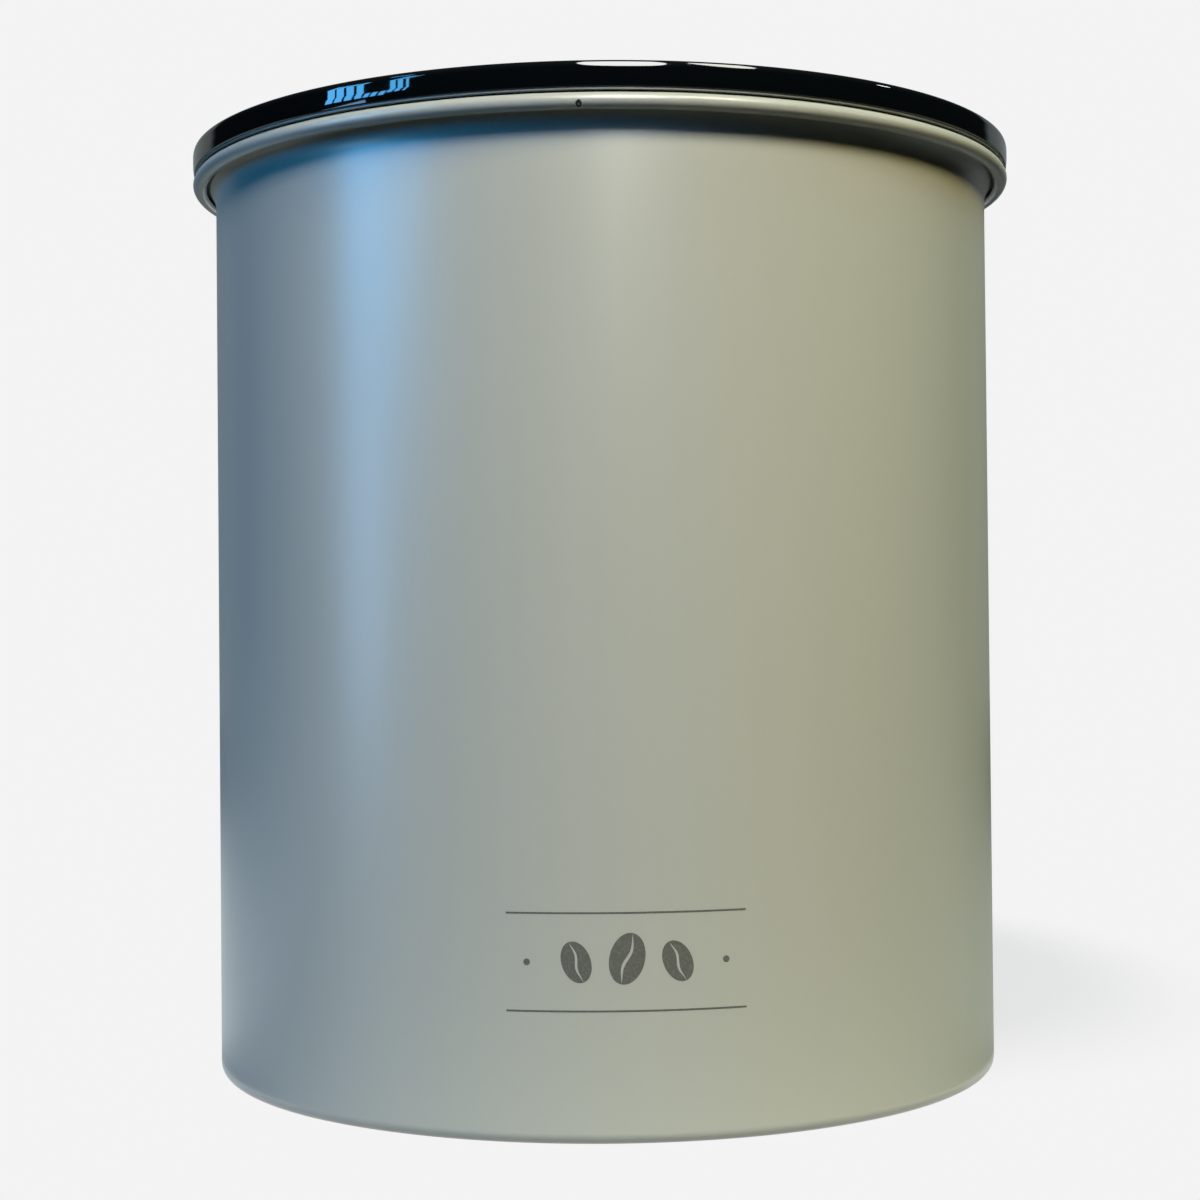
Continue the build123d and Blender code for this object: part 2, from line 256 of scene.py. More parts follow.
def powderCoat():
    # sprayed coat with its orange peel, and one chip with a blister on the curl's front
    finish = coatFinish
    material, tree, shader = newMaterial("powderCoat")
    point = objectPoint(tree)
    grain = useGroup(tree, surfaceGrain, Scale=finish["peel"], Drift=finish["drift"])
    drift = calculate(tree, "MULTIPLY", grain["Tone"], finish["driftShare"])
    speckle = noise(tree, point, finish["speckle"], 1.0)
    speckle = calculate(tree, "MULTIPLY", speckle, 1 - finish["driftShare"])
    colour = mixColour(tree, calculate(tree, "ADD", drift, speckle), finish["dark"], finish["light"])
    squashed = calculateVector(tree, "MULTIPLY", calculateVector(tree, "SUBTRACT", point, finish["chip"]),
                               (1, 1, 1 / finish["chipStretch"]))
    uneven = calculate(tree, "MULTIPLY", noise(tree, point, finish["raggedScale"]), finish["ragged"])
    offset = calculate(tree, "ADD", calculateVector(tree, "LENGTH", squashed, result="Value"), uneven)
    chip, blister = (spread(tree, offset, *(share * finish["chipSize"] for share in finish[edge]), 1.0, 0.0)
                     for edge in ("chipEdge", "blisterEdge"))
    colour = mixColour(tree, chip, colour, finish["primer"])
    colour = mixColour(tree, blister, colour, finish["blister"])
    low, high = finish["roughness"]
    rough = addNode(tree, "MapRange", {"Value": grain["Tone"], "To Min": low, "To Max": high})
    pit = calculate(tree, "MULTIPLY", chip, finish["chipDepth"])
    height = calculate(tree, "SUBTRACT", grain["Height"], pit)
    dress(tree, shader, colour, rough.outputs["Result"], bump(tree, height, finish["peelDepth"]))
    return material


lidFinish = {
    "colour": (0.0014, 0.0024, 0.0030),
    "refraction": 1.52,
    "roughness": (0.020, 0.045),
    "smear": 60.0,
    "smearBand": (0.35, 0.7),
    "ripple": 55.0,
    "rippleDepth": 0.012 * mm,
    "dust": (0.19, 0.18, 0.16),
    "dustScale": 420.0,
    "dustAmount": 0.05,
    "dustShare": 0.3,
    "dustRoughness": 0.35,
}


def lidGloss():
    # glossy moulding with a faint ripple, smears and sparse dust
    finish = lidFinish
    material, tree, shader = newMaterial("lidGloss", IOR=finish["refraction"])
    point = objectPoint(tree)
    dust = useGroup(tree, settledDust, Scale=finish["dustScale"], Amount=finish["dustAmount"])["Mask"]
    dusty = calculate(tree, "MULTIPLY", dust, finish["dustShare"])
    colour = mixColour(tree, dusty, finish["colour"], finish["dust"])
    smear = noise(tree, point, finish["smear"], 4.0)
    rough = calculate(tree, "ADD", spread(tree, smear, *finish["smearBand"], *finish["roughness"]),
                      calculate(tree, "MULTIPLY", dust, finish["dustRoughness"]))
    ripple = noise(tree, point, finish["ripple"], 1.0)
    dress(tree, shader, colour, rough, bump(tree, ripple, finish["rippleDepth"]))
    return material


plasticLook = {
    "drift": 40.0,
    "contrast": 0.12,
    "roughSpread": 0.05,
    "edgeWidth": 0.5 * mm,
    "edgePolish": 0.12,
    "dust": (0.30, 0.26, 0.20),
    "dustScale": 600.0,
    "dustShare": 0.6,
}
plastics = {
    "plungerPlastic": {"colour": (0.020, 0.020, 0.021), "wornAndSheen": (0.060, 0.060, 0.060), "roughness": 0.46,
                       "grain": 1300.0, "grainDepth": 0.020 * mm, "wearAndSheen": 0.5, "dust": 0.10},
    "handlePlastic": {"colour": (0.026, 0.026, 0.028), "wornAndSheen": (0.075, 0.075, 0.074), "roughness": 0.36,
                      "grain": 900.0, "grainDepth": 0.010 * mm, "wearAndSheen": 0.7, "dust": 0.04},
    "camPlastic": {"colour": (0.60, 0.585, 0.53), "wornAndSheen": (0.68, 0.67, 0.62), "roughness": 0.34,
                   "grain": 700.0, "grainDepth": 0.006 * mm, "wearAndSheen": 0.3, "dust": 0.03},
}


def mouldedPlastic(name):
    # fine grain, rubbed edges lightened partly by wear and partly as a painted sheen, and a little settled
    # dust
    finish, look = plastics[name], plasticLook
    material, tree, shader = newMaterial(name)
    grain = useGroup(tree, surfaceGrain, Scale=finish["grain"], Drift=look["drift"])
    edges = useGroup(tree, edgeWearAndSheen, Width=look["edgeWidth"], Amount=finish["wearAndSheen"])["Mask"]
    dust = useGroup(tree, settledDust, Scale=look["dustScale"], Amount=finish["dust"])["Mask"]
    colour = driftColour(tree, grain["Tone"], finish["colour"], look["contrast"])
    # lighter edges: partly wear, partly a painted sheen
    colour = mixColour(tree, edges, colour, finish["wornAndSheen"])
    colour = mixColour(tree, calculate(tree, "MULTIPLY", dust, look["dustShare"]), colour, look["dust"])
    low, high = (finish["roughness"] + change for change in (-look["roughSpread"], look["roughSpread"]))
    rough = calculate(tree, "SUBTRACT", spread(tree, grain["Height"], *noiseBand, low, high),
                      calculate(tree, "MULTIPLY", edges, look["edgePolish"]))
    dress(tree, shader, colour, rough, bump(tree, grain["Height"], finish["grainDepth"]))
    return material


rubberLook = {
    "grain": 1500.0,
    "grainDepth": 0.008 * mm,
    "drift": 55.0,
    "contrast": 0.10,
    "roughSpread": 0.06,
    "sheenRoughness": 0.45,
    "dust": (0.34, 0.31, 0.26),
    "dustScale": 900.0,
    "dustAmount": 0.12,
    "dustShare": 0.5,
}
rubbers = {
    "sealRubber": {"colour": (0.050, 0.051, 0.054), "roughness": 0.56, "sheen": 0.12},
    "rimSealRubber": {"colour": (0.17, 0.185, 0.155), "roughness": 0.50, "sheen": 0.04},
    "flapSilicone": {"colour": (0.47, 0.46, 0.42), "roughness": 0.40, "sheen": 0.08},
}


def siliconeRubber(name):
    # soft and dull, with a slight sheen and some dust that clings to it
    finish, look = rubbers[name], rubberLook
    material, tree, shader = newMaterial(name, Sheen_Weight=finish["sheen"],
                                         Sheen_Roughness=look["sheenRoughness"])
    grain = useGroup(tree, surfaceGrain, Scale=look["grain"], Drift=look["drift"])
    dust = useGroup(tree, settledDust, Scale=look["dustScale"], Amount=look["dustAmount"])["Mask"]
    colour = driftColour(tree, grain["Tone"], finish["colour"], look["contrast"])
    colour = mixColour(tree, calculate(tree, "MULTIPLY", dust, look["dustShare"]), colour, look["dust"])
    low, high = (finish["roughness"] + change for change in (-look["roughSpread"], look["roughSpread"]))
    rough = spread(tree, grain["Height"], *noiseBand, low, high)
    dress(tree, shader, colour, rough, bump(tree, grain["Height"], look["grainDepth"]))
    return material


liningFinish = {
    "dark": (0.50, 0.495, 0.48),
    "light": (0.66, 0.655, 0.64),
    "anisotropy": 0.35,
    "roughness": (0.24, 0.34),
    "hoops": 5200.0,
    "bands": 520.0,
    "depth": 0.004 * mm,
    "smear": 25.0,
    "smearBand": (0.4, 0.7),
    "smearRoughness": 0.08,
}


def turnedSteel():
    # bare stainless inside of the can, with hoops and rings from drawing and brushing
    finish = liningFinish
    material, tree, shader = newMaterial("turnedSteel", Metallic=1.0, Anisotropic=finish["anisotropy"])
    lines = useGroup(tree, turnedLines, Fine=finish["hoops"], Coarse=finish["bands"])
    colour = mixColour(tree, spread(tree, lines["Tone"], *noiseBand), finish["dark"], finish["light"])
    smear = noise(tree, objectPoint(tree), finish["smear"], 3.0)
    rough = calculate(tree, "ADD", spread(tree, lines["Height"], *noiseBand, *finish["roughness"]),
                      spread(tree, smear, *finish["smearBand"], 0.0, finish["smearRoughness"]))
    dress(tree, shader, colour, rough, bump(tree, lines["Height"], finish["depth"]))
    return material


wireFinish = {
    "dark": (0.54, 0.535, 0.52),
    "light": (0.68, 0.675, 0.66),
    "roughness": (0.16, 0.28),
    "marks": 4200.0,
    "stretch": (0.05, 1.0, 1.0),
    "depth": 0.003 * mm,
}


def drawnSteel():
    # polished rod, clip and spring wire, with faint draw marks
    finish = wireFinish
    material, tree, shader = newMaterial("drawnSteel", Metallic=1.0)
    stretched = calculateVector(tree, "MULTIPLY", objectPoint(tree), finish["stretch"])
    marks = noise(tree, stretched, finish["marks"])
    colour = mixColour(tree, spread(tree, marks, *noiseBand), finish["dark"], finish["light"])
    rough = spread(tree, marks, *noiseBand, *finish["roughness"])
    dress(tree, shader, colour, rough, bump(tree, marks, finish["depth"]))
    return material


inkFinish = {
    "thick": (0.093, 0.094, 0.074),
    "thin": (0.130, 0.131, 0.104),
    "patches": 1900.0,
    "patchBand": (0.42, 0.72),
    "roughness": (0.5, 0.42),
    "depth": 0.004 * mm,
}


def printInk():
    # flat screen print, a little uneven where the ink lies thin
    finish = inkFinish
    material, tree, shader = newMaterial("printInk")
    point = objectPoint(tree)
    thin = spread(tree, noise(tree, point, finish["patches"], 3.0), *finish["patchBand"])
    colour = mixColour(tree, thin, finish["thick"], finish["thin"])
    rough = spread(tree, thin, 0.0, 1.0, *finish["roughness"])
    dress(tree, shader, colour, rough, bump(tree, noise(tree, point, coatFinish["peel"]), finish["depth"]))
    return material


finishes = {
    "powder_coat": powderCoat(),
    "lid_plastic": lidGloss(),
    "plunger_plastic": mouldedPlastic("plungerPlastic"),
    "handle_plastic": mouldedPlastic("handlePlastic"),
    "cam_plastic": mouldedPlastic("camPlastic"),
    "seal": siliconeRubber("sealRubber"),
    "rim_seal": siliconeRubber("rimSealRubber"),
    "flap_silicone": siliconeRubber("flapSilicone"),
    "steel": drawnSteel(),
    "lining": turnedSteel(),
    "ink": printInk(),
}
for part in frame["record"]["subparts"]:
    for slot in nodes[part["node"]].material_slots:
        slot.material = finishes[part["material_slot"]]
print("finishes:", len(finishes), "materials")


# Turned forms

onPlane = 1e-7  # how near a vertex lies to the plane that it is on


def everything(form):
    return form.verts[:] + form.edges[:] + form.faces[:]


def finishForm(form, name, materials, body, smoothAngle=35.0):
    # a bmesh becomes a piece with smooth shading that stays crisp at its corners
    mesh = bpy.data.meshes.new(name)
    form.to_mesh(mesh)
    form.free()
    mesh.polygons.foreach_set("use_smooth", [True] * len(mesh.polygons))
    mesh.set_sharp_from_angle(angle=math.radians(smoothAngle))
    piece = bpy.data.objects.new(name, mesh)
    bpy.context.scene.collection.objects.link(piece)
    for material in materials:
        mesh.materials.append(material)
    shading = piece.modifiers.new("flatFacesFirst", "WEIGHTED_NORMAL")
    shading.keep_sharp = True
    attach(piece, body)
    return piece


def addLine(form, corners, segments=6):
    # an open line of edges through corners of (radius, height) or (radius, height, round)
    verts = [form.verts.new((corner[0], 0, corner[1])) for corner in corners]
    for first, second in zip(verts, verts[1:]):
        form.edges.new((first, second))
    first, last = verts[0], verts[-1]
    for vert, corner in zip(verts, corners):
        if len(corner) == 3:
            bmesh.ops.bevel(form, geom=[vert], offset=corner[2], affect="VERTICES", segments=segments,
                            profile=0.5, material=-1)
    return first, last


def addArc(form, vert, centre, turn, steps):
    # carries the line on from vert along an arc round centre (radius, height)
    made = bmesh.ops.spin(form, geom=[vert], cent=(centre[0], 0, centre[1]), axis=(0, 1, 0),
                          angle=math.radians(turn), steps=steps, use_merge=False, use_duplicate=False)
    return next(item for item in made["geom_last"] if isinstance(item, bmesh.types.BMVert))


def turnRound(form, steps):
    # turns every line about Z, closes the poles and points the faces outwards
    bmesh.ops.spin(form, geom=form.verts[:] + form.edges[:], cent=(0, 0, 0), axis=(0, 0, 1),
                   angle=math.tau, steps=steps, use_merge=True, use_duplicate=False)
    bmesh.ops.remove_doubles(form, verts=form.verts, dist=0.001 * mm)
    bmesh.ops.recalc_face_normals(form, faces=form.faces)


# Can: one drawn sheet, recessed base, straight wall, flared neck and curled rim

canShape = {
    "wall": 86.5 * mm,
    "sheet": 0.7 * mm,
    "recess": 2.0 * mm,
    "ring": 7.0 * mm,
    "ramp": 3.0 * mm,
    "rampRound": 1.0 * mm,
    "corner": 2.6 * mm,
    "neck": 7.0 * mm,
    "curl": 1.6 * mm,
    "overhang": 5.0 * mm,
    "height": 197.45 * mm,
    "curlTurn": 270.0,
    "cornerSteps": 8,
    "neckSteps": 14,
    "curlSteps": 30,
    "steps": 288,
    "coatEdge": 196.9 * mm,  # the coat reaches over the curl down to here
    "liningReach": 3.0 * mm,
    "floorZone": 20.0 * mm,
    "slope": 0.02,
}


def canLine(form, depth):
    # one face of the sheet, depth in from the outside, from the axis to the curl's end
    shape = canShape
    reach = shape["neck"] - shape["curl"] + shape["sheet"]
    flare = math.acos((shape["neck"] + shape["curl"] - shape["overhang"]) / reach)
    curlHeight = shape["height"] - shape["curl"]
    neckCentre = (shape["wall"] + shape["neck"], curlHeight - reach * math.sin(flare))
    curlCentre = (neckCentre[0] - reach * math.cos(flare), curlHeight)
    ringInside = shape["wall"] - shape["ring"]
    end = addLine(form, [
        (0, shape["recess"] + depth),
        (ringInside - shape["ramp"], shape["recess"] + depth, shape["rampRound"]),
        (ringInside, depth, shape["rampRound"]),
        (shape["wall"] - depth, depth, shape["corner"] - depth),
        (shape["wall"] - depth, neckCentre[1]),
    ], segments=shape["cornerSteps"])[1]
    end = addArc(form, end, neckCentre, math.degrees(flare), shape["neckSteps"])
    return addArc(form, end, curlCentre, shape["curlTurn"], shape["curlSteps"])


def isBare(face):
    # whether a face lies inside the can, where the coat leaves the steel bare
    shape = canShape
    middle = face.calc_center_median()
    outwards = Vector((middle.x, middle.y, 0))
    radius = outwards.length
    facing = face.normal.dot(outwards) / max(radius, mm)
    onFloor = face.normal.z > shape["slope"] and middle.z < shape["floorZone"] and radius < shape["wall"]
    inNeck = middle.z < shape["coatEdge"] and radius < shape["wall"] + shape["liningReach"]
    return onFloor or (inNeck and facing < -shape["slope"])


def makeCan():
    form = bmesh.new()
    form.edges.new([canLine(form, depth) for depth in (0, canShape["sheet"])])
    turnRound(form, canShape["steps"])
    for face in form.faces:
        face.material_index = int(isBare(face))
    can = finishForm(form, "canShell", [finishes["powder_coat"], finishes["lining"]], "canister")
    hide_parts("canister_body")
    return can


can = makeCan()
print("can: turned,", len(can.data.polygons), "faces")


# Outer lid: glossy rim on the curl, stacking recess above, plug skirt with its seal's groove below

lidShape = {
    "seat": 197.75 * mm,
    "top": 203.2 * mm,
    "radius": 91.5 * mm,
    "foot": (0.17 * mm, 0.38 * mm, 0.30 * mm),  # inset, rise, round
    "belt": ((1.95 * mm, 0.55 * mm), (4.56 * mm, 0.46 * mm)),  # height over the seat, round
    "crown": (0.35 * mm, 0.48 * mm),  # inset, round
    "rimWall": 2.6 * mm,
    "recess": 87.3 * mm,
    "recessDepth": 2.5 * mm,
    "recessRound": 0.6 * mm,
    "panel": 2.2 * mm,
    "skirtFoot": 183.75 * mm,
    "skirtBore": 81.3 * mm,
    "skirtRound": 0.5 * mm,
    "groove": 83.1 * mm,
    "grooveHeight": 5.4 * mm,
    "flange": 84.6 * mm,
    "flangeHeight": 1.6 * mm,
    "smallRound": 0.25 * mm,
    "fineRound": 0.12 * mm,
    "cornerSteps": 8,
    "steps": 288,
}


def makeLid():
    shape = lidShape
    floor = shape["top"] - shape["recessDepth"]
    under = floor - shape["panel"]
    rimInside = shape["radius"] - shape["rimWall"]
    footInset, footRise, footRound = shape["foot"]
    crownInset, crownRound = shape["crown"]
    skirtFoot = shape["skirtFoot"]
    grooveFoot = skirtFoot + shape["flangeHeight"]
    grooveHead = grooveFoot + shape["grooveHeight"]
    flangeHead = grooveHead + shape["flangeHeight"]
    form = bmesh.new()
    addLine(form, [
        (0, under),
        (shape["skirtBore"], under, shape["skirtRound"]),
        (shape["skirtBore"], skirtFoot, shape["smallRound"]),
        (shape["flange"], skirtFoot, shape["smallRound"]),
        (shape["flange"], grooveFoot, shape["smallRound"]),
        (shape["groove"], grooveFoot),
        (shape["groove"], grooveHead),
        (shape["flange"], grooveHead, shape["smallRound"]),
        (shape["flange"], flangeHead, shape["smallRound"]),
        (shape["groove"], flangeHead, shape["smallRound"]),
        (shape["groove"], under, shape["smallRound"]),
        (rimInside, under, shape["fineRound"]),
        (rimInside, shape["seat"] + footRise, shape["fineRound"]),
        (shape["radius"] - footInset, shape["seat"] + footRise, footRound),
        *((shape["radius"], shape["seat"] + height, beltRound) for height, beltRound in shape["belt"]),
        (shape["radius"] - crownInset, shape["top"], crownRound),
        (shape["recess"], shape["top"], shape["recessRound"]),
        (shape["recess"], floor, shape["recessRound"]),
        (0, floor),
    ], segments=shape["cornerSteps"])
    turnRound(form, shape["steps"])
    lid = finishForm(form, "lidShell", [finishes["lid_plastic"]], "outer_lid", smoothAngle=30.0)
    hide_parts("outer_lid")
    return lid


lid = makeLid()
print("lid: turned,", len(lid.data.polygons), "faces")


# Pale soft seal under the lid's rim, seen as a thin line above the can's curl

rimSealShape = {
    "inside": 89.0 * mm,
    "outside": 91.0 * mm,
    "foot": 197.66 * mm,
    "head": 198.18 * mm,
    "round": 0.15 * mm,
}


def makeRimSeal():
    shape = rimSealShape
    form = bmesh.new()
    ends = addLine(form, [
        (shape["inside"], shape["head"]),
        (shape["inside"], shape["foot"], shape["round"]),
        (shape["outside"], shape["foot"], shape["round"]),
        (shape["outside"], shape["head"]),
    ])
    form.edges.new(ends)
    turnRound(form, lidShape["steps"])
    seal = finishForm(form, "lidRimSeal", [finishes["rim_seal"]], "outer_lid")
    return seal


rimSeal = makeRimSeal()
print("rim seal: turned,", len(rimSeal.data.polygons), "faces")


# Valve spring: round wire wound between the clip and the deck

springShape = {
    "radius": 6.25 * mm,
    "wire": 0.7 * mm,
    "wireSides": 14,
    "turns": 3,
    "stepsPerTurn": 40,
    "foot": 128.4 * mm,
    "head": 133.2 * mm,
    "anchor": (0, 0, 133.6 * mm),
    "squeezed": 0.643,
}


def makeSpring():
    shape = springShape
    form = bmesh.new()
    climb = shape["head"] - shape["foot"]
    tilt = math.atan2(climb, math.tau * shape["turns"] * shape["radius"])
    across = Matrix.Rotation(math.pi / 2 + tilt, 4, "X")
    bmesh.ops.create_circle(form, cap_ends=True, segments=shape["wireSides"], radius=shape["wire"] / 2,
                            matrix=Matrix.Translation((shape["radius"], 0, shape["foot"])) @ across)
    steps = shape["turns"] * shape["stepsPerTurn"]
    bmesh.ops.spin(form, geom=everything(form), cent=(0, 0, 0), axis=(0, 0, 1), dvec=(0, 0, climb / steps),
                   angle=math.tau * shape["turns"], steps=steps, use_merge=False, use_duplicate=False)
    bmesh.ops.holes_fill(form, edges=[edge for edge in form.edges if edge.is_boundary], sides=0)
    bmesh.ops.recalc_face_normals(form, faces=form.faces)
    spring = finishForm(form, "springCoil", [finishes["steel"]], "plunger")
    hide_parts("valve_spring")
    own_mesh(spring)
    return spring


spring = makeSpring()
print("spring: wound,", len(spring.data.polygons), "faces")


# Print on the front: three coffee beans between two fine rules, with no lettering

printShape = {
    "centre": (3.7 * mm, 34.5 * mm),
    "beans": [(-9.6, 0.0, 20.0, 0.92), (0.0, 0.6, -14.0, 1.12), (9.6, 0.0, 24.0, 0.92)],  # x, z, tilt, size
    "beanLength": 8.8 * mm,
    "beanWidth": 6.0 * mm,
    "beanSides": 48,
    "groove": 0.55 * mm,
    "grooveCuts": 13,
    "wave": 0.55 * mm,
    "ruleWidth": 46.0 * mm,
    "ruleHeight": 0.36 * mm,
    "ruleOffset": 9.2 * mm,
    "dot": 1.3 * mm,
    "dotSides": 20,
    "dotOffset": 19.0 * mm,
    "proud": 0.03 * mm,
    "sunk": 0.03 * mm,
    "slice": 0.8 * mm,
}


def layInk(form, name, x, z):
    # stands a flat form up at its place, slices it so that it can bend, gives it the ink's
    # thickness and wraps it round the wall, with its depth in Y kept as a radius
    shape = printShape
    centre = Vector((shape["centre"][0] + x, 0, shape["centre"][1] + z))
    stand = Matrix.Translation(centre) @ Matrix.Rotation(math.pi / 2, 4, "X")
    bmesh.ops.transform(form, verts=form.verts, matrix=stand)
    cut = min(vert.co.x for vert in form.verts) + shape["slice"]
    right = max(vert.co.x for vert in form.verts)
    while cut < right:
        bmesh.ops.bisect_plane(form, geom=everything(form), dist=onPlane, plane_co=(cut, 0, 0),
                               plane_no=(1, 0, 0))
        cut += shape["slice"]
    bmesh.ops.translate(form, verts=form.verts, vec=(0, shape["sunk"], 0))
    made = bmesh.ops.extrude_face_region(form, geom=form.faces[:])
    raised = [item for item in made["geom"] if isinstance(item, bmesh.types.BMVert)]
    bmesh.ops.translate(form, verts=raised, vec=(0, -shape["proud"] - shape["sunk"], 0))
    bmesh.ops.recalc_face_normals(form, faces=form.faces)
    for vert in form.verts:
        turn = vert.co.x / canShape["wall"]
        radius = canShape["wall"] - vert.co.y
        vert.co = Vector((radius * math.sin(turn), -radius * math.cos(turn), vert.co.z))
    finishForm(form, name, [finishes["ink"]], "canister")


def inMiddle(vert):
    return abs(vert.co.x) < onPlane


def makeBean(name, x, z, tilt, size):
    # an oval split along its middle, with the two halves drawn apart along a wavy groove
    shape = printShape
    form = bmesh.new()
    bmesh.ops.create_circle(form, cap_ends=True, segments=shape["beanSides"], radius=0.5)
    bmesh.ops.scale(form, verts=form.verts, vec=(shape["beanWidth"] * size, shape["beanLength"] * size, 1))
    bmesh.ops.bisect_plane(form, geom=everything(form), dist=onPlane, plane_co=(0, 0, 0), plane_no=(1, 0, 0))
    bmesh.ops.split_edges(form, edges=[edge for edge in form.edges if all(map(inMiddle, edge.verts))])
    bmesh.ops.subdivide_edges(form, edges=[edge for edge in form.edges if all(map(inMiddle, edge.verts))],
                              cuts=shape["grooveCuts"])
    half = shape["beanLength"] * size / 2
    for face in form.faces:
        side = 1 if face.calc_center_median().x > 0 else -1
        for vert in filter(inMiddle, face.verts):
            fade = math.cos(math.pi / 2 * vert.co.y / half)
            wave = shape["wave"] * size * math.sin(math.pi * vert.co.y / half) * fade
            vert.co.x = side * shape["groove"] * size / 2 * fade + wave
    bmesh.ops.transform(form, verts=form.verts, matrix=Matrix.Rotation(math.radians(tilt), 4, "Z"))
    layInk(form, name, x * mm, z * mm)


def makeRule(name, z):
    shape = printShape
    form = bmesh.new()
    bmesh.ops.create_grid(form, x_segments=1, y_segments=1, size=0.5)
    bmesh.ops.scale(form, verts=form.verts, vec=(shape["ruleWidth"], shape["ruleHeight"], 1))
    layInk(form, name, 0, z)


def makeDot(name, x):
    form = bmesh.new()
    bmesh.ops.create_circle(form, cap_ends=True, segments=printShape["dotSides"],
                            radius=printShape["dot"] / 2)
    layInk(form, name, x, 0)


for number, bean in enumerate(printShape["beans"], start=1):
    makeBean(f"printBean{number}", *bean)
makeRule("printRuleHigh", printShape["ruleOffset"])
makeRule("printRuleLow", -printShape["ruleOffset"])
makeDot("printDotLeft", -printShape["dotOffset"])
makeDot("printDotRight", printShape["dotOffset"])
print("print: beans, rules and dots on the wall")


# Studio: pale floor and backdrop, a dark surround for reflections, soft lamps

studio = {
    "backdrop": 0.896,
    "ambient": 0.01,
}


def bareTree(owner):
    owner.use_nodes = True
    owner.node_tree.nodes.clear()
    return owner.node_tree


def endTree(tree, shader, kind="OutputMaterial"):
    tree.links.new(shader.outputs[0], addNode(tree, kind).inputs["Surface"])


def seenByEye(tree):
    # 1 where the camera, a reflection or a refraction looks, 0 where light is gathered
    rays = addNode(tree, "LightPath").outputs
    mirrored = calculate(tree, "MAXIMUM", rays["Is Glossy Ray"], rays["Is Transmission Ray"])
    return calculate(tree, "MAXIMUM", rays["Is Camera Ray"], mirrored)


def makeWorld():
    world = bpy.data.worlds.new("studio")
    bpy.context.scene.world = world
    tree = bareTree(world)
    colour = mixColour(tree, seenByEye(tree), [studio["ambient"]] * 3, [studio["backdrop"]] * 3)
    endTree(tree, addNode(tree, "Background", {"Color": colour, "Strength": 1.0}), "OutputWorld")


def stagePiece(form, name, material):
    mesh = bpy.data.meshes.new(name)
    form.to_mesh(mesh)
    form.free()
    mesh.materials.append(material)
    piece = bpy.data.objects.new(name, mesh)
    bpy.context.scene.collection.objects.link(piece)
    return piece


def onlyInReflections(piece):
    piece.visible_camera = False
    piece.visible_diffuse = False
    piece.visible_shadow = False
    piece.visible_transmission = False


floorShape = {
    "size": 8.0,
    # the shade keys place and darken a painted shadow patch to the right of the can
    "shadeSquash": (1.0, 0.6, 1.0),
    "shadeMiddle": (0.07, 0.072, 0),  # in the squashed frame
    "shadeReach": (0.05, 0.10),
    "shade": 0.24,
    "shadeTone": 0.28,
    "bounceReach": (0.10, 0.17),
    "bounce": 0.40,
}


def makeFloor():
    # pale where the camera or a reflection sees it, with a painted shadow patch at the can's right, where a
    # darker diffuse share also takes real shadows; it throws little light upwards
    shape = floorShape
    material = bpy.data.materials.new("paleFloor")
    tree = bareTree(material)
    point = objectPoint(tree)
    squashed = calculateVector(tree, "MULTIPLY", point, shape["shadeSquash"])
    distance = calculateVector(tree, "DISTANCE", squashed, shape["shadeMiddle"], result="Value")
    # painted shadow: near this middle the pale glow gives way to a dark diffuse share
    shade = spread(tree, distance, *shape["shadeReach"], shape["shade"], 0.0)
    radius = calculateVector(tree, "LENGTH", point, result="Value")
    bounce = spread(tree, radius, *shape["bounceReach"], shape["bounce"], 0.0)
    seen = seenByEye(tree)
    tone = mixColour(tree, seen, bounce, [shape["shadeTone"]] * 3)
    diffuse = addNode(tree, "BsdfDiffuse", {"Color": tone})
    glow = addNode(tree, "Emission", {"Color": (*[studio["backdrop"]] * 3, 1), "Strength": 1.0})
    share = calculate(tree, "MULTIPLY", seen, calculate(tree, "SUBTRACT", 1.0, shade))
    endTree(tree, addNode(tree, "MixShader", {0: share, 1: diffuse.outputs[0], 2: glow.outputs[0]}))
    form = bmesh.new()
    bmesh.ops.create_grid(form, x_segments=1, y_segments=1, size=shape["size"] / 2)
    stagePiece(form, "studioFloor", material)


surroundShape = {
    "radius": 2.4,
    "foot": 0.01,
    "cardsInside": 0.088,
    "cardsHeight": 0.002,
    "cardsEdge": (0.004, 0.006),
    "colour": (0.9, 1.0, 1.0),
    "dim": 0.010,
    "overhead": (0.9, 2.3, 0.10),  # each of these: start, end, level
    "behind": (1.44, 1.632, 0.28),
    "floorFront": (0.10, 0.50, 0.16),
    "floorBack": (0.20, 0.90, 0.95),
    "floorRight": (-0.04, 0.12, 0.5),
    "floorAway": 0.20,
    "frontToBack": (-0.05, 0.03),
}


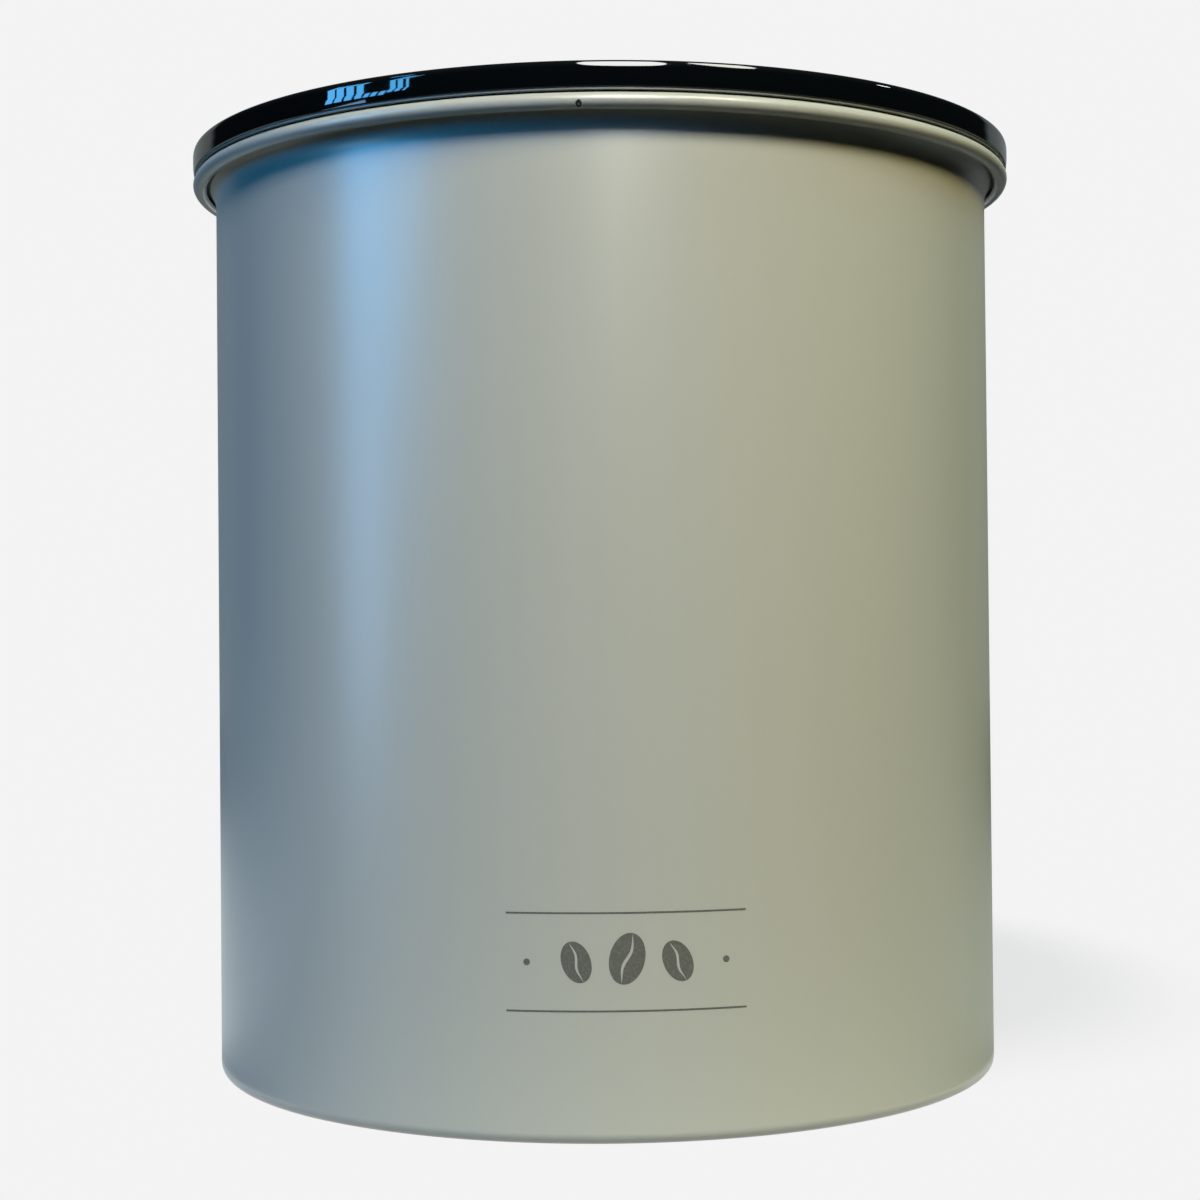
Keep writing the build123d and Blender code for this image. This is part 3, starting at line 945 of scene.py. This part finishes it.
def makeSurround():
    # a dark tent and dark cards on the floor that only reflections see, as in a dim room
    shape = surroundShape
    material = bpy.data.materials.new("darkSurround")
    tree = bareTree(material)
    point = objectPoint(tree)
    place = axesOf(tree, point)
    radius = calculateVector(tree, "LENGTH", point, result="Value")
    start, end, level = shape["overhead"]
    overhead = spread(tree, place["Z"], start, end, shape["dim"], level)
    start, end, level = shape["behind"]
    around = calculate(tree, "ADD", overhead, spread(tree, place["Y"], start, end, 0.0, level))
    start, end, level = shape["floorFront"]
    front = spread(tree, radius, start, end, level, shape["dim"])
    start, end, level = shape["floorBack"]
    back = spread(tree, radius, start, end, level, shape["floorAway"])
    start, end, level = shape["floorRight"]
    back = calculate(tree, "MULTIPLY", back, spread(tree, place["X"], start, end, 1.0, level))
    below = spread(tree, place["Y"], *shape["frontToBack"], front, back)
    strength = spread(tree, place["Z"], *shape["cardsEdge"], below, around)
    endTree(tree, addNode(tree, "Emission", {"Color": (*shape["colour"], 1), "Strength": strength}))
    form = bmesh.new()
    bmesh.ops.create_uvsphere(form, u_segments=48, v_segments=24, radius=shape["radius"])
    bmesh.ops.bisect_plane(form, geom=everything(form), dist=onPlane, plane_co=(0, 0, shape["foot"]),
                           plane_no=(0, 0, -1), clear_outer=True)
    ends = [form.verts.new((reach, 0, shape["cardsHeight"]))
            for reach in (shape["cardsInside"], shape["radius"])]
    bmesh.ops.spin(form, geom=[*ends, form.edges.new(ends)], cent=(0, 0, 0), axis=(0, 0, 1), angle=math.tau,
                   steps=64, use_merge=True, use_duplicate=False)
    onlyInReflections(stagePiece(form, "darkSurround", material))


paneShape = {
    "far": 1.5,
    "steps": 3,
    # rows of panes: turns from start to end, height from low to high, lean of the top
    "bars": ([(-75.2, -72.8), (-72.2, -69.8), (-69.0, -66.6), (-65.7, -63.5)], 0.36, 0.88, 0.0),
    "dashes": ([(-63.1, -61.5), (-60.9, -59.2), (-58.4, -56.7)], 0.36, 0.50, 0.6),
    "strokes": ([(-56.0, -54.4), (-53.8, -52.3), (-51.4, -50.6)], 0.42, 0.98, 2.4),
    "lintel": ([(-62.0, -54.5)], 1.22, 1.30, 0.0),
    "sill": ([(-76.0, -62.0)], 0.02, 0.29, 0.0),
}
windows = {
    "windowPanes": {"rows": ("bars", "dashes", "strokes", "lintel"),
                    "colour": (0.10, 0.49, 1.0), "glow": 17.0},
    "windowSill": {"rows": ("sill",), "colour": (0.32, 0.60, 1.0), "glow": 7.9},
}


def makePanes(name, rows, colour, glow):
    # panes of a window on the left, which only reflections see
    shape = paneShape
    material = bpy.data.materials.new(name)
    tree = bareTree(material)
    endTree(tree, addNode(tree, "Emission", {"Color": (*colour, 1), "Strength": glow}))
    form = bmesh.new()
    for turns, low, high, lean in (shape[row] for row in rows):
        for start, end in turns:
            corners = [(math.radians(turn), Vector((0, -shape["far"], height)))
                       for turn, height in ((start, low), (start + lean, high))]
            ends = [form.verts.new(Matrix.Rotation(angle, 3, "Z") @ corner) for angle, corner in corners]
            bmesh.ops.spin(form, geom=[*ends, form.edges.new(ends)], cent=(0, 0, 0), axis=(0, 0, 1),
                           angle=math.radians(end - start), steps=shape["steps"], use_merge=False,
                           use_duplicate=False)
    onlyInReflections(stagePiece(form, name, material))


lampRig = {
    "far": 1.5,
    "aim": 0.15,
}
lamps = {
    "keyFront": {"turn": -4.5, "lift": 43.0, "size": (0.83, 0.42), "power": 20.4,
                 "colour": (0.81, 0.84, 1.0), "serves": "diffuse"},
    "keyRight": {"turn": 34.5, "lift": 43.0, "size": (0.50, 0.42), "power": 16.2,
                 "colour": (1.0, 0.88, 0.46), "serves": "diffuse"},
    "window": {"turn": -60.0, "lift": 13.0, "size": (0.70, 0.62), "power": 7.5,
               "colour": (0.02, 0.39, 1.0), "serves": "diffuse"},
    "fillRight": {"turn": 95.0, "lift": 62.0, "size": (0.70, 0.50), "power": 9.2,
                  "colour": (0.34, 0.82, 1.0), "serves": "diffuse"},
    "fillBack": {"turn": 180.0, "lift": 38.0, "size": (0.60, 0.60), "power": 17.0,
                 "colour": (0.95, 0.97, 1.0), "serves": "diffuse"},
    "streakFront": {"turn": 6.6, "lift": 39.0, "size": (0.52, 1.15), "power": 29.0,
                    "colour": (1.0, 1.0, 0.98), "serves": "glossy"},
    "streakRight": {"turn": 38.0, "lift": 44.0, "size": (0.36, 0.62), "power": 9.6,
                    "colour": (1.0, 1.0, 0.92), "serves": "glossy"},
    "glintRight": {"turn": 86.0, "lift": 30.0, "size": (0.12, 0.07), "power": 0.5,
                   "colour": (1.0, 1.0, 0.95), "serves": "glossy"},
}


def makeLamp(name, turn, lift, size, power, colour, serves):
    # a soft round panel far from the can, turned towards its upper half
    data = bpy.data.lights.new(name, "AREA")
    data.shape = "ELLIPSE"
    data.size, data.size_y = size
    data.energy = power
    data.color = colour
    lamp = bpy.data.objects.new(name, data)
    bpy.context.scene.collection.objects.link(lamp)
    across, up = math.radians(turn), math.radians(lift)
    away = Vector((math.sin(across) * math.cos(up), -math.cos(across) * math.cos(up), math.sin(up)))
    place = Vector((0, 0, lampRig["aim"])) + away * lampRig["far"]
    lamp.matrix_world = Matrix.Translation(place) @ away.to_track_quat("Z", "Y").to_matrix().to_4x4()
    lamp.visible_camera = False
    lamp.visible_diffuse = serves == "diffuse"
    lamp.visible_glossy = serves == "glossy"


makeWorld()
makeFloor()
makeSurround()
for name, window in windows.items():
    makePanes(name, **window)
for name, lamp in lamps.items():
    makeLamp(name, **lamp)
print("studio: floor, surround and", len(lamps), "lamps")


# Camera at the photograph's place

cameraPlace = {
    "place": (-0.0006, -0.48949, 0.09691),
    "turn": 0.00049,
    "pitch": math.pi / 2 + 0.01374,
    "roll": -0.00907,
    "lens": 64.32,
    "sensor": 36.0,
    "clip": (0.01, 50.0),
}


def makeCamera():
    data = bpy.data.cameras.new("camera")
    data.lens = cameraPlace["lens"]
    data.sensor_width = cameraPlace["sensor"]
    data.clip_start, data.clip_end = cameraPlace["clip"]
    camera = bpy.data.objects.new("camera", data)
    bpy.context.scene.collection.objects.link(camera)
    camera.matrix_world = (
        Matrix.Translation(cameraPlace["place"])
        @ Matrix.Rotation(cameraPlace["turn"], 4, "Z")
        @ Matrix.Rotation(cameraPlace["pitch"], 4, "X")
        @ Matrix.Rotation(cameraPlace["roll"], 4, "Z")
    )
    bpy.context.scene.camera = camera


makeCamera()
bpy.context.scene.view_settings.view_transform = "Standard"
bpy.context.view_layer.update()
